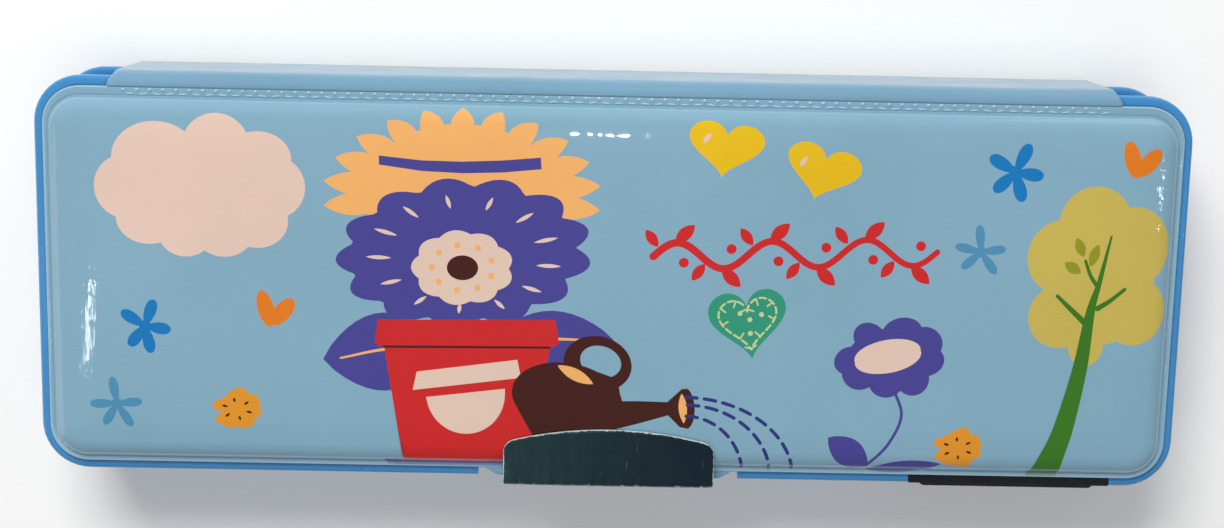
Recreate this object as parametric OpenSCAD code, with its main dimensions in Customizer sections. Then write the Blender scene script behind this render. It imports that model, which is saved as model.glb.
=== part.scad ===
// Pencil case: a moulded tray with a padded film cover, a hinged lid with a magnetic clasp,
// a pull-out pencil sharpener and a tilting pencil rack.
// X runs along the case, -Y is the front with the clasp, +Z is up, and the origin is the
// centre of the footprint on the surface that the case lies on.

/* [Case] */
// Length of the case over the rim
case_l = 230; // [226:1:236]
// Width of the case over the rim
case_w = 80; // [80:0.5:84]
// Height of the closed case over the clasp
case_h = 30; // [29.5:0.5:33]
// Corner radius of the rim
rim_r = 9.5; // [9:0.5:10]
// How far the rim stands out past the lid
rim_out = 2; // [1.8:0.1:2.2]

/* [Lid] */
// Thickness of the padded lid
lid_t = 3.8; // [3.6:0.1:4.2]
// Thickness of the outer film
film_t = 0.5; // [0.4:0.05:0.6]
// Radius of the padding's edge
pad_edge = 2.2; // [1.8:0.1:2.4]

/* [Clasp] */
// Width of the metallised clasp plate
clasp_w = 42.5; // [40:0.5:45]
// How far the plate reaches over the lid in its middle
clasp_reach = 8; // [7:0.5:10]
// How much less it reaches at its ends
clasp_arch = 2.9; // [2:0.1:3.5]

/* [Sharpener drawer] */
// Centre of the drawer along the case
drawer_x = 82; // [80:0.5:83]
// Width of the drawer
drawer_w = 36; // [34:0.5:36]

/* [Pencil rack] */
// Number of pencils the rack holds
rack_slots = 5; // [4:1:5]
// Width of one pencil slot
slot_w = 8; // [7.6:0.1:8]

/* [Hidden] */
$fn = 48;
CORNERS = [[0, 1, 1], [90, -1, 1], [180, -1, -1], [270, 1, -1]];

gap = 0.3;            // clearance between pieces that move past each other
snug = 0.05;          // clearance between pieces that lie against each other
wall = 1.8;
thin_wall = 1.4;

// Levels, from the surface up
base_t = 2.6;
floor_top = base_t + 1.6;
lid_top = case_h - 1;
lid_bottom = lid_top - lid_t;
rim_top = lid_bottom - 0.2;
lining_t = 0.3;
board_t = 1.2;
flange_z = lid_bottom + lining_t;

// Plan sizes
lid_l = case_l - 2 * rim_out;
lid_w = case_w - 2 * rim_out;
lid_r = rim_r - rim_out;
wall_l = case_l - 2 * wall;
wall_w = case_w - 2 * wall;
wall_r = rim_r - wall;
in_l = wall_l - 2 * wall;
in_w = wall_w - 2 * wall;
in_r = wall_r - wall;
front_y = -wall_w / 2;
back_y = wall_w / 2;
lip_h = 2.2;
pad_inset = 1.2;
weld_w = 2;           // welded strip along the hinge
pad_l = lid_l - 2 * pad_inset;
pad_w = lid_w - pad_inset - weld_w;
pad_front = -lid_w / 2 + pad_inset;
pad_y = pad_front + pad_w / 2;
pad_r = lid_r - pad_inset;

// Spine
spine_l = 198;
spine_t = 2.9;
spine_y = back_y + 0.1;

// Clasp
plate_t = 1.15;
plate_y = -case_w / 2 - 0.8;
plate_drop = 18.5;
notch_l = 53;
recess_y = front_y + 3.3;
recess_z = 10.5;
flap_l = 40;
flap_y = plate_y + plate_t + snug;
flap_t = 3.5;
flap_z = 12.6;
magnet = [15, 2, 9];
magnet_x = 10.5;
strike = [36, 0.6, 12];

// Tray dividers
divider_top = rim_top - 1.5;
divider_y = -13.8;
cell_walls = [-30, 30, 60.6];

// Sharpener housing and drawer
housing_wall = 1.2;
housing_w = drawer_w + 3;
housing_z = floor_top;
housing_top = rim_top - 0.8;
housing_back = divider_y - 0.2;
bezel_w = drawer_w + 5;
panel_y = -case_w / 2 - 1.2;
drawer_z = housing_z + housing_wall + gap;
drawer_h = housing_top - housing_wall - gap - drawer_z;
bin_h = drawer_h - 2.2;
bin_back = housing_back - housing_wall - gap - 0.5;
bin_wall = 1;

// Pencil sharpener, with its entry at the drawer's right-hand wall
sharp_x = drawer_x + drawer_w / 2 - gap - bin_wall - snug;
sharp_y = front_y + 10.7;
sharp = [23, 14.5, 11];
sharp_z = drawer_z + bin_wall + 5.6;
pencil_r = 4.1;
head_l = 4;
slope_h = 3.3;
slope_a = 9.9;
blade = [17.5, 8, 0.5];
screw_at = [9.5, 4.2];

// Pencil rack
rack_pivot_x = in_l / 2 - 4.1;
rack_pivot_z = floor_top + 2.1;
rack_fin = 1.1;
rack_pitch = slot_w + rack_fin;
rack_w = rack_slots * rack_pitch + rack_fin;
rack_y = in_w / 2 - thin_wall - gap - rack_w;
rack_l = 18;
rack_x = rack_pivot_x - 3 - rack_l;
rack_plate = 1.2;
rack_z = floor_top + gap;
slot_h = 8.2;
axle_r = 1.25;

// Timetable card and its pocket
card = [150, 50, 0.25];
pocket = [162, 58, 0.6];

// ---- shapes that repeat ----

module rounded_outline(l, w, r) {
    square([l - 2 * r, w], center = true);
    square([l, w - 2 * r], center = true);
    for (c = CORNERS)
        translate([c[1] * (l / 2 - r), c[2] * (w / 2 - r)])
            circle(r);
}

module slab(l, w, r, z0, z1) {
    translate([0, 0, z0])
        linear_extrude(z1 - z0)
            rounded_outline(l, w, r);
}

// Sweeps a profile round a rounded rectangle. The profile's x points outwards from the outline.
module edge_sweep(l, w, r) {
    for (c = CORNERS) {
        across = c[0] % 180 == 0;
        rotate(c[0])
            translate([(across ? l : w) / 2, 0, 0])
                rotate([90, 0, 0])
                    linear_extrude((across ? w : l) - 2 * r, center = true)
                        children();
        translate([c[1] * (l / 2 - r), c[2] * (w / 2 - r), 0])
            rotate(c[0])
                rotate_extrude(angle = 90)
                    translate([r, 0])
                        children();
    }
}

// A slab whose upper edge is rounded all round, like padding under a film.
module padded_slab(l, w, r, z0, z1, edge) {
    steps = 6;
    inner = min(r - 0.3, edge + 1.5);
    slab(l - 2 * inner + 1, w - 2 * inner + 1, r - inner + 0.5, z0, z1);
    edge_sweep(l, w, r)
        polygon(concat(
            [[-inner, z0], [0, z0]],
            [for (i = [0:steps]) [
                edge * (cos(90 * i / steps) - 1),
                z1 - edge + edge * sin(90 * i / steps)
            ]],
            [[-inner, z1]]
        ));
}

module box_between(low, high) {
    translate(low)
        cube(high - low);
}

module rod_along_y(r, x, z, y0, y1) {
    translate([x, y0, z])
        rotate([-90, 0, 0])
            cylinder(r = r, h = y1 - y0);
}

// ---- the tray and what is fixed to it ----

module lip_profile(z0) {
    round_r = 0.8;
    translate([0, z0]) {
        translate([-1, 0])
            square([wall + 1 - round_r, lip_h]);
        translate([0, round_r])
            square([wall, lip_h - 2 * round_r]);
        for (z = [round_r, lip_h - round_r])
            translate([wall - round_r, z])
                circle(round_r);
    }
}

module tray() {
    color([0.25, 0.56, 0.84])
    difference() {
        union() {
            difference() {
                union() {
                    slab(wall_l, wall_w, wall_r, base_t, rim_top);
                    for (z = [base_t, rim_top - lip_h])
                        edge_sweep(wall_l, wall_w, wall_r)
                            lip_profile(z);
                }
                slab(in_l, in_w, in_r, floor_top, rim_top + 1);
            }
            // Wall behind the clasp's recess
            box_between([-notch_l / 2 - wall, front_y + 1, floor_top - 1],
                        [notch_l / 2 + wall, recess_y + wall, rim_top]);
            // Ear for the far end of the rack's axle
            box_between([rack_pivot_x - 3, in_w / 2 - thin_wall, floor_top - 1],
                        [rack_pivot_x + 3, in_w / 2 + 1, rack_pivot_z + 4]);
        }
        // The spine stands where the rims are left out at the back
        for (z = [base_t, rim_top - lip_h])
            box_between([-spine_l / 2 - 0.5, back_y, z - 1],
                        [spine_l / 2 + 0.5, case_w, z + lip_h + 1]);
        // Recess for the clasp's flap
        box_between([-notch_l / 2, -case_w, recess_z],
                    [notch_l / 2, recess_y, rim_top + 1]);
        // Opening for the sharpener's housing
        box_between([drawer_x - housing_w / 2 - 0.1, -case_w, housing_z],
                    [drawer_x + housing_w / 2 + 0.1, front_y + wall + 0.5, rim_top + 1]);
        box_between([drawer_x - bezel_w / 2 - 0.1, -case_w, housing_z],
                    [drawer_x + bezel_w / 2 + 0.1, front_y, rim_top + 1]);
        rod_along_y(axle_r + 0.02, rack_pivot_x, rack_pivot_z, rack_y, in_w / 2);
    }
}

// The insert that parts the pencil bay from the front cells, and carries the rack's near end
module divider_insert() {
    long_l = in_l - 2 * snug;
    z0 = floor_top + snug;
    color([0.25, 0.56, 0.84])
    difference() {
        union() {
            box_between([-long_l / 2, divider_y, z0],
                        [long_l / 2, divider_y + thin_wall, divider_top]);
            for (x = cell_walls)
                box_between([x, front_y + wall + snug, z0],
                            [x + thin_wall, divider_y + 0.5, divider_top]);
        }
        rod_along_y(axle_r + 0.02, rack_pivot_x, rack_pivot_z, divider_y - 1, divider_y + 3);
    }
}

module base_skin() {
    color([0.52, 0.72, 0.84])
    difference() {
        union() {
            slab(lid_l, lid_w, lid_r, base_t - film_t, base_t);
            translate([0, pad_y, base_t])
                mirror([0, 0, 1])
                    padded_slab(pad_l, pad_w, pad_r, 0, base_t, 1.4);
        }
        translate([0, pad_y, 0])
            slab(pad_l - 3.2, pad_w - 3.2, pad_r - 1.6, film_t, base_t + 1);
    }
}

module base_foam() {
    color([0.93, 0.92, 0.86])
    translate([0, pad_y, 0])
        slab(pad_l - 3.4, pad_w - 3.4, pad_r - 1.7, film_t, base_t - 1.05);
}

module base_board() {
    color([0.62, 0.58, 0.5])
    translate([0, pad_y, 0])
        slab(pad_l - 3.4, pad_w - 3.4, pad_r - 1.7, base_t - 1.05, base_t - snug);
}

module spine_skin() {
    color([0.52, 0.72, 0.84])
    difference() {
        box_between([-spine_l / 2, spine_y, 1],
                    [spine_l / 2, spine_y + spine_t, rim_top - 0.45]);
        box_between([-spine_l / 2 + 2, spine_y + film_t, 3],
                    [spine_l / 2 - 2, spine_y + spine_t - film_t, rim_top - 2.4]);
    }
}

module spine_board() {
    color([0.62, 0.58, 0.5])
    box_between([-spine_l / 2 + 2.1, spine_y + film_t + snug, 3.1],
                [spine_l / 2 - 2.1, spine_y + spine_t - film_t - snug, rim_top - 2.5]);
}

module hinge_film() {
    color([0.52, 0.72, 0.84])
    box_between([-spine_l / 2, spine_y, rim_top - 0.4],
                [spine_l / 2, spine_y + spine_t, rim_top + 0.1]);
}

module strike_plate() {
    color([0.7, 0.71, 0.72])
    box_between([-strike[0] / 2, recess_y - strike[1], recess_z + 1.5],
                [strike[0] / 2, recess_y, recess_z + 1.5 + strike[2]]);
}

module sharpener_housing() {
    inner_w = housing_w - 2 * housing_wall;
    color([0.06, 0.06, 0.07])
    difference() {
        union() {
            box_between([drawer_x - housing_w / 2, front_y, housing_z],
                        [drawer_x + housing_w / 2, housing_back, housing_top]);
            box_between([drawer_x - bezel_w / 2, -case_w / 2, housing_z + 0.1],
                        [drawer_x + bezel_w / 2, front_y, rim_top]);
        }
        box_between([drawer_x - inner_w / 2, -case_w, housing_z + housing_wall],
                    [drawer_x + inner_w / 2, housing_back - housing_wall, housing_top - housing_wall]);
    }
}

module rack_axle() {
    color([0.75, 0.76, 0.78])
    rod_along_y(axle_r, rack_pivot_x, rack_pivot_z, divider_y + 0.1, in_w / 2 - 0.1);
}

module pencil_rack() {
    bar_z = rack_z + rack_plate + slot_h;
    color([0.93, 0.95, 0.96])
    difference() {
        union() {
            box_between([rack_x, rack_y, rack_z],
                        [rack_x + rack_l, rack_y + rack_w, bar_z + rack_plate]);
            box_between([rack_x + rack_l - 1, rack_y, rack_z],
                        [rack_pivot_x, rack_y + rack_w, rack_z + rack_plate]);
            rod_along_y(1.9, rack_pivot_x, rack_pivot_z, rack_y, rack_y + rack_w);
        }
        for (i = [0:rack_slots - 1]) {
            slot_y = rack_y + rack_fin + i * rack_pitch;
            // Slot, closed at the pivot's end and bridged by a bar at its mouth
            box_between([rack_x - 1, slot_y, rack_z + rack_plate],
                        [rack_x + rack_l - rack_plate, slot_y + slot_w, bar_z]);
            box_between([rack_x + 5, slot_y, rack_z + rack_plate],
                        [rack_x + rack_l - rack_plate, slot_y + slot_w, bar_z + 3]);
        }
        rod_along_y(axle_r + 0.07, rack_pivot_x, rack_pivot_z, rack_y - 1, rack_y + rack_w + 1);
    }
}

// ---- the lid ----

module lid_skin() {
    color([0.56, 0.76, 0.87])
    difference() {
        union() {
            slab(lid_l, lid_w, lid_r, flange_z, flange_z + film_t);
            translate([0, pad_y, 0])
                padded_slab(pad_l, pad_w, pad_r, flange_z, lid_top, pad_edge);
        }
        translate([0, pad_y, 0])
            slab(pad_l - 3, pad_w - 3, pad_r - 1.5, flange_z - 1, lid_top - film_t);
    }
}

module lid_foam() {
    color([0.93, 0.92, 0.86])
    translate([0, pad_y, 0])
        slab(pad_l - 3.2, pad_w - 3.2, pad_r - 1.6, flange_z + board_t, lid_top - film_t - snug);
}

module lid_board() {
    color([0.62, 0.58, 0.5])
    translate([0, pad_y, 0])
        slab(pad_l - 3.2, pad_w - 3.2, pad_r - 1.6, flange_z, flange_z + board_t);
}

module lid_lining() {
    color([0.8, 0.88, 0.93])
    slab(lid_l, lid_w, lid_r, lid_bottom, flange_z);
}

module card_pocket() {
    color([0.85, 0.9, 0.93])
    difference() {
        box_between([-pocket[0] / 2, -pocket[1] / 2, lid_bottom - pocket[2]],
                    [pocket[0] / 2, pocket[1] / 2, lid_bottom]);
        box_between([-card[0] / 2 - 0.5, -card[1] / 2 - 0.5, lid_bottom - pocket[2] + 0.2],
                    [pocket[0], card[1] / 2 + 0.5, lid_bottom + 1]);
    }
}

module timetable_card() {
    color([0.97, 0.96, 0.92])
    box_between([-card[0] / 2, -card[1] / 2, lid_bottom - snug - card[2]],
                [card[0] / 2, card[1] / 2, lid_bottom - snug]);
}

module clasp_flap() {
    color([0.52, 0.72, 0.84])
    difference() {
        union() {
            box_between([-flap_l / 2, flap_y, flap_z],
                        [flap_l / 2, flap_y + flap_t, lid_bottom - 0.1]);
            box_between([-notch_l / 2 + 1.5, flap_y, lid_bottom - 3],
                        [notch_l / 2 - 1.5, -lid_w / 2 - snug, flange_z + film_t]);
        }
        for (side = [-1, 1])
            translate([side * magnet_x, flap_y + flap_t / 2, flap_z + 6])
                cube(magnet + [0.1, 0.1, 0.1], center = true);
    }
}

module clasp_magnets() {
    color([0.25, 0.25, 0.26])
    for (side = [-1, 1])
        translate([side * magnet_x, flap_y + flap_t / 2, flap_z + 6])
            cube(magnet, center = true);
}

module clasp_plate() {
    arch_r = (pow(clasp_w / 2, 2) + pow(clasp_arch, 2)) / (2 * clasp_arch);
    bend_r = 1;
    color([0.09, 0.2, 0.25])
    intersection() {
        union() {
            // Leaf over the lid, with an arched inner edge
            intersection() {
                box_between([-clasp_w / 2, plate_y + bend_r, lid_top + snug],
                            [clasp_w / 2, -lid_w / 2 + clasp_reach, case_h]);
                translate([0, -lid_w / 2 + clasp_reach - arch_r, lid_top])
                    cylinder(r = arch_r, h = 2, $fn = 96);
            }
            // Leg down the front, joined to the leaf by a rounded bend
            box_between([-clasp_w / 2, plate_y, case_h - plate_drop],
                        [clasp_w / 2, plate_y + plate_t, case_h - bend_r]);
            translate([-clasp_w / 2, plate_y + bend_r, case_h - bend_r])
                rotate([0, 90, 0])
                    cylinder(r = bend_r, h = clasp_w);
            // Cheeks that close the ends of the bend
            for (side = [-1, 1])
                translate([side * (clasp_w / 2 - 0.5), 0, 0])
                    box_between([-0.5, plate_y + bend_r / 2, flange_z + film_t + snug],
                                [0.5, pad_front - snug, case_h - bend_r / 2]);
        }
        // Rounded lower corners of the leg
        translate([0, 0, case_h - 30])
            rotate([90, 0, 0])
                linear_extrude(3 * case_w, center = true)
                    translate([0, 30 - plate_drop + 20])
                        rounded_outline(clasp_w, 40, 3);
    }
}

// ---- the sharpener drawer ----

module sharpener_drawer() {
    x0 = drawer_x - drawer_w / 2;
    x1 = drawer_x + drawer_w / 2;
    panel_r = 1.2;
    color([0.1, 0.1, 0.12])
    difference() {
        union() {
            // Front panel with rounded upright edges
            box_between([x0, panel_y + panel_r, drawer_z], [x1, front_y, drawer_z + drawer_h]);
            box_between([x0 + panel_r, panel_y, drawer_z], [x1 - panel_r, front_y, drawer_z + drawer_h]);
            for (x = [x0 + panel_r, x1 - panel_r])
                translate([x, panel_y + panel_r, drawer_z])
                    cylinder(r = panel_r, h = drawer_h);
            difference() {
                box_between([x0 + gap, front_y - 1, drawer_z],
                            [x1 - gap, bin_back, drawer_z + bin_h]);
                box_between([x0 + gap + bin_wall, front_y + bin_wall, drawer_z + bin_wall],
                            [x1 - gap - bin_wall, bin_back - bin_wall, drawer_z + bin_h + 1]);
            }
        }
        // Hole for the pencil in the right-hand wall
        translate([x1 - 3, sharp_y, sharp_z])
            rotate([0, 90, 0])
                cylinder(r = pencil_r + 0.3, h = 5);
        // Finger notch under the front panel
        translate([drawer_x, panel_y, drawer_z])
            rotate([0, 90, 0])
                cylinder(r = 1.4, h = 14, center = true);
    }
}

// Puts its children on the sharpener's sloping face: x runs down the slope, away from the entry.
module on_slope() {
    translate([sharp_x - head_l, sharp_y, sharp_z + slope_h])
        rotate([0, 0, 180])
            rotate([0, slope_a, 0])
                children();
}

module sharpener_body() {
    tip_r = 0.6;
    color([0.95, 0.75, 0.15])
    difference() {
        box_between([sharp_x - sharp[0], sharp_y - sharp[1] / 2, drawer_z + bin_wall],
                    [sharp_x, sharp_y + sharp[1] / 2, drawer_z + bin_wall + sharp[2]]);
        on_slope()
            translate([0, -10, 0])
                cube([40, 20, 12]);
        translate([sharp_x, sharp_y, sharp_z])
            rotate([0, -90, 0]) {
                translate([0, 0, -1])
                    cylinder(r = pencil_r, h = 4);
                translate([0, 0, 3])
                    cylinder(r1 = pencil_r, r2 = tip_r, h = sharp[0] - 3);
                cylinder(r = tip_r, h = sharp[0] + 1);
            }
        on_slope()
            translate([screw_at[0], screw_at[1], -4])
                cylinder(r = 1.15, h = 5);
        // Finger grooves in both sides
        for (side = [-1, 1], i = [0:3])
            translate([sharp_x - 7 - i * 2.6, sharp_y + side * sharp[1] / 2, drawer_z])
                cylinder(r = 0.6, h = 14);
    }
}

module sharpener_blade() {
    color([0.8, 0.81, 0.83])
    on_slope()
        difference() {
            translate([0.6, 0.2, snug / 2])
                cube([blade[0], 6.8, blade[2]]);
            translate([screw_at[0], screw_at[1], -1])
                cylinder(r = 1.2, h = 3);
        }
}

module sharpener_screw() {
    color([0.78, 0.76, 0.7])
    on_slope()
        translate([screw_at[0], screw_at[1], 0])
            difference() {
                union() {
                    translate([0, 0, -3.6])
                        cylinder(r = 1.1, h = 4.5);
                    translate([0, 0, blade[2] + snug])
                        cylinder(r = 2.2, h = 1.2);
                }
                translate([0, 0, blade[2] + 1.4])
                    cube([6, 0.6, 1.2], center = true);
            }
}

tray();
divider_insert();
base_skin();
base_foam();
base_board();
spine_skin();
spine_board();
hinge_film();
strike_plate();
sharpener_housing();
rack_axle();
pencil_rack();
lid_skin();
lid_foam();
lid_board();
lid_lining();
card_pocket();
timetable_card();
clasp_flap();
clasp_magnets();
clasp_plate();
sharpener_drawer();
sharpener_body();
sharpener_blade();
sharpener_screw();
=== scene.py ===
from math import cos, dist, exp, hypot, pi, radians, sin, sqrt

import bmesh
import bpy
import numpy as np
from mathutils import Euler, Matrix, Vector, geometry, noise


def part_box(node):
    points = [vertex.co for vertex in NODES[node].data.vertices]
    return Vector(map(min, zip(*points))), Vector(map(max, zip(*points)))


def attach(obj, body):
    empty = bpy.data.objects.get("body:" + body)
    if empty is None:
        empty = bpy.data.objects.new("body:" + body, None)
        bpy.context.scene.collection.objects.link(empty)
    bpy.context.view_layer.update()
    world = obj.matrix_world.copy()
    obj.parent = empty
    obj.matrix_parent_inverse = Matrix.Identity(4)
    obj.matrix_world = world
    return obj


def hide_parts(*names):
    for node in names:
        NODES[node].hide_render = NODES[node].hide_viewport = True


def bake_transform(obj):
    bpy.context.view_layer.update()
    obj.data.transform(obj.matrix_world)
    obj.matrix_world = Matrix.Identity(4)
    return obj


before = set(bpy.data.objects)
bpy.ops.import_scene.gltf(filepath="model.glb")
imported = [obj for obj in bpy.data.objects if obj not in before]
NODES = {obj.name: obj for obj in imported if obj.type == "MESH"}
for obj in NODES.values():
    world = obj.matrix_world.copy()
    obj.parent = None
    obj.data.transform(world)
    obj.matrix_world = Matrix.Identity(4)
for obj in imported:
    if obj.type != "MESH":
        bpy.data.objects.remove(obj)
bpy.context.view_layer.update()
MM = 0.001


def box_mm(node):
    """A node's lowest and highest corners at rest, in mm."""
    low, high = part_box(node)
    return np.array(low) * 1000, np.array(high) * 1000


# ---------------------------------------------------------------- materials

def linear(r, g, b):
    """An 8-bit display colour as a linear one."""
    return tuple(
        c / 12.92 if c <= 0.04045 else ((c + 0.055) / 1.055) ** 2.4
        for c in (r / 255, g / 255, b / 255)
    )


class Nodes:
    """A short way to wire a material's nodes. Coordinates are the piece's own, in metres."""

    def __init__(self, name):
        self.mat = bpy.data.materials.new(name)
        self.mat.use_nodes = True
        self.tree = self.mat.node_tree
        self.shader = self.tree.nodes["Principled BSDF"]
        self.where = self.tree.nodes.new("ShaderNodeTexCoord").outputs["Object"]

    def put(self, node, values):
        """Sets a node's inputs by name or number, or links them where the value is a socket."""
        for key, value in values.items():
            if isinstance(value, bpy.types.NodeSocket):
                self.tree.links.new(value, node.inputs[key])
            else:
                node.inputs[key].default_value = value

    def new(self, kind, values, output=0, **settings):
        """An output of a new node."""
        n = self.tree.nodes.new("ShaderNode" + kind)
        for key, value in settings.items():
            setattr(n, key, value)
        self.put(n, values)
        return n.outputs[output]

    def stretched(self, scale):
        return self.new("Mapping", {"Vector": self.where, "Scale": scale})

    def noise(self, scale, detail=3.0, rough=0.55, vector=None, distortion=0.0):
        values = {"Scale": scale, "Detail": detail, "Roughness": rough, "Distortion": distortion}
        return self.new("TexNoise", {"Vector": vector or self.where, **values}, "Fac")

    def voronoi(self, scale):
        return self.new("TexVoronoi", {"Vector": self.where, "Scale": scale}, "Distance")

    def span(self, value, low, high, to_low, to_high):
        values = {"From Min": low, "From Max": high, "To Min": to_low, "To Max": to_high}
        return self.new("MapRange", {"Value": value, **values}, "Result")

    def maths(self, operation, a, b):
        return self.new("Math", {0: a, 1: b}, operation=operation)

    def add(self, a, b):
        return self.maths("ADD", a, b)

    def times(self, a, b):
        return self.maths("MULTIPLY", a, b)

    def larger(self, a, b):
        return self.maths("MAXIMUM", a, b)

    def along(self, axis):
        """Where the surface lies along X, Y or Z."""
        return self.new("SeparateXYZ", {0: self.where}, axis)

    def mix(self, share, a, b, blend="MIX"):
        a, b = (v if isinstance(v, bpy.types.NodeSocket) else (*v[:3], 1.0) for v in (a, b))
        return self.new("Mix", {0: share, 6: a, 7: b}, 2, data_type="RGBA", blend_type=blend)

    def attribute(self, name, output="Color"):
        return self.new("Attribute", {}, output, attribute_name=name)

    def bumps(self, *layers):
        """Layers of (height socket, distance in mm), one on the other."""
        below = {}
        for height, distance in layers:
            values = {"Strength": 1.0, "Distance": distance * MM, "Height": height, **below}
            below = {"Normal": self.new("Bump", values)}
        self.put(self.shader, {**below, "Coat Normal": below["Normal"]})

    def surface(self, colour, roughness, **values):
        self.put(self.shader, {"Base Color": colour, "Roughness": roughness})
        self.put(self.shader, {key.replace("_", " "): value for key, value in values.items()})
        return self.mat


def toned(m, colour, scale, by):
    """A colour that drifts a little lighter and darker over the surface."""
    dark = tuple(c * (1 - by) for c in colour)
    light = tuple(min(1.0, c * (1 + by)) for c in colour)
    return m.mix(m.noise(scale, 4.0), dark, light)


def moulded(name, colour, rough=0.3, coat=0.0, grain=0.012, by=0.05, scratches=0.25, sss=0.0, crease=0.0):
    """Injection-moulded plastic: flow marks, a fine grain, hairline scratches and, where crease is given,
    painted shade darkening its creases.
    """
    m = Nodes(name)
    base = toned(m, colour, 45.0, by)
    hair = m.noise(900.0, 2.0, 0.5, m.stretched((0.04, 1.0, 1.0)))
    worn = m.span(hair, 0.62, 0.72, 0.0, scratches)
    base = m.mix(worn, base, tuple(min(1.0, c * 1.25 + 0.02) for c in colour))
    if crease:
        # Painted shade: the colour darkens where nearby surfaces within about a millimetre hem it in, in
        # creases and gaps such as under the lid's flange
        open_air = m.new("AmbientOcclusion", {"Distance": 1.1 * MM}, "AO", samples=6)
        painted_crease_shade = m.span(open_air, 0.25, 0.85, crease, 0.0)
        base = m.mix(painted_crease_shade, base, tuple(c * c * 0.35 for c in colour))
    uneven = m.span(m.noise(260.0, 5.0), 0.3, 0.7, rough - 0.05, rough + 0.07)
    m.bumps((m.noise(120.0, 2.0), 0.05), (m.noise(2600.0, 3.0), grain))
    return m.surface(
        base, m.add(uneven, m.times(worn, 0.1)), Coat_Weight=coat, Coat_Roughness=0.08,
        Subsurface_Weight=sss, Subsurface_Radius=(0.0012, 0.0012, 0.0016), Subsurface_Scale=1.0
    )


def film(name, colour=None, attribute=None, coat=1.0, fine=1.0, crinkled=0.0):
    """Soft film under a clear glossy layer, plain or printed from an attribute.

    Where crinkled is given, the film is creased up to that far from the middle."""
    m = Nodes(name)
    base = m.attribute(attribute) if attribute else toned(m, colour, 30.0, 0.035)
    # Ink laid down a little unevenly, with the fine screen of the print
    ink = m.span(m.noise(5200.0, 2.0, 0.7), 0.3, 0.7, 0.965, 1.03)
    patch = m.span(m.noise(28.0, 3.0), 0.3, 0.7, 0.965, 1.03)
    tone = m.times(ink, patch)
    base = m.mix(1.0, base, m.new("CombineColor", {0: tone, 1: tone, 2: tone}), "MULTIPLY")
    smudge = m.noise(75.0, 5.0, 0.6, distortion=0.6)
    rough = m.span(smudge, 0.35, 0.75, 0.30, 0.44)
    layers = [(m.noise(120.0, 3.0, 0.5), 0.016 * fine), (m.noise(1500.0, 2.0), 0.0012 * fine)]
    if crinkled:
        # Drawn tight over the ends, the film lies in fine upright creases
        from_middle = m.maths("ABSOLUTE", m.along("X"), 0.0)
        end = m.span(from_middle, crinkled - 0.013, crinkled - 0.005, 0.0, 1.0)
        upright = m.noise(760.0, 3.0, 0.6, m.stretched((1.0, 0.16, 1.0)), 0.3)
        spots = m.noise(640.0, 2.0, 0.5)
        layers.append((m.times(end, m.add(upright, m.times(spots, 0.15))), 0.045))
    m.bumps(*layers)
    return m.surface(
        base, rough, Specular_IOR_Level=0.2, Coat_Weight=coat, Coat_Roughness=0.03, Coat_IOR=1.5
    )


def metal(name, colour, rough, along=(1.0, 40.0, 40.0)):
    """Rolled or ground steel with its lines running one way."""
    m = Nodes(name)
    by = 0.12
    lines = m.noise(420.0, 4.0, 0.65, m.stretched(along))
    base = m.mix(lines, tuple(c * (1 - by) for c in colour), tuple(min(1.0, c * (1 + by)) for c in colour))
    m.bumps((lines, 0.01), (m.noise(90.0, 2.0), 0.01))
    return m.surface(base, m.span(lines, 0.3, 0.7, rough - 0.06, rough + 0.1), Metallic=1.0)


BLUE = linear(124, 162, 182)
PRINTS = {
    "sky": BLUE,
    "cream": linear(216, 188, 172),
    "apricot": linear(230, 168, 98),
    "indigo": linear(66, 62, 138),
    "red": linear(194, 32, 32),
    "brown": linear(62, 21, 11),
    "yellow": linear(220, 178, 6),
    "green": linear(42, 142, 112),
    "sage": linear(190, 196, 146),
    "blue": linear(8, 112, 176),
    "pale_blue": linear(72, 134, 170),
    "orange": linear(214, 116, 22),
    "amber": linear(214, 140, 32),
    "crown": linear(190, 170, 80),
    "olive": linear(136, 140, 22),
    "leaf": linear(52, 112, 24),
    "navy": linear(42, 46, 116),
}
# Pale film: the colour of the lid film's cut walls and underside, and of the painted highlight along its
# edge
WHITENED_AND_HIGHLIGHT = linear(170, 200, 220)


# ---------------------------------------------------------------- mesh helpers

def linked(name, data):
    """An object in the scene."""
    ob = bpy.data.objects.new(name, data)
    bpy.context.scene.collection.objects.link(ob)
    return ob


def mesh_object(name, verts, faces, mat):
    """A smooth-shaded object in the scene, from points in mm."""
    me = bpy.data.meshes.new(name)
    scaled = [tuple(float(c) * MM for c in v) for v in verts]
    me.from_pydata(scaled, [], [tuple(int(i) for i in f) for f in faces])
    me.validate()
    me.polygons.foreach_set("use_smooth", [True] * len(me.polygons))
    me.materials.append(mat)
    return linked(name, me)


def rounded_loop(cx, cy, hx, hy, r, n_long=170, n_short=56, n_arc=14):
    """Points round a rounded rectangle, anticlockwise, the same number whatever its size."""
    out = []
    sides = (
        ((hx, -(hy - r)), (hx, hy - r), n_short, (hx - r, hy - r), 0),
        ((hx - r, hy), (-(hx - r), hy), n_long, (-(hx - r), hy - r), 90),
        ((-hx, hy - r), (-hx, -(hy - r)), n_short, (-(hx - r), -(hy - r)), 180),
        ((-(hx - r), -hy), (hx - r, -hy), n_long, (hx - r, -(hy - r)), 270),
    )
    for a, b, n, centre, turn in sides:
        for i in range(n):
            t = i / n
            out.append((a[0] + (b[0] - a[0]) * t, a[1] + (b[1] - a[1]) * t))
        for i in range(n_arc):
            t = radians(turn + 90 * i / n_arc)
            out.append((centre[0] + r * cos(t), centre[1] + r * sin(t)))
    return [(cx + x, cy + y) for x, y in out]


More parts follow.
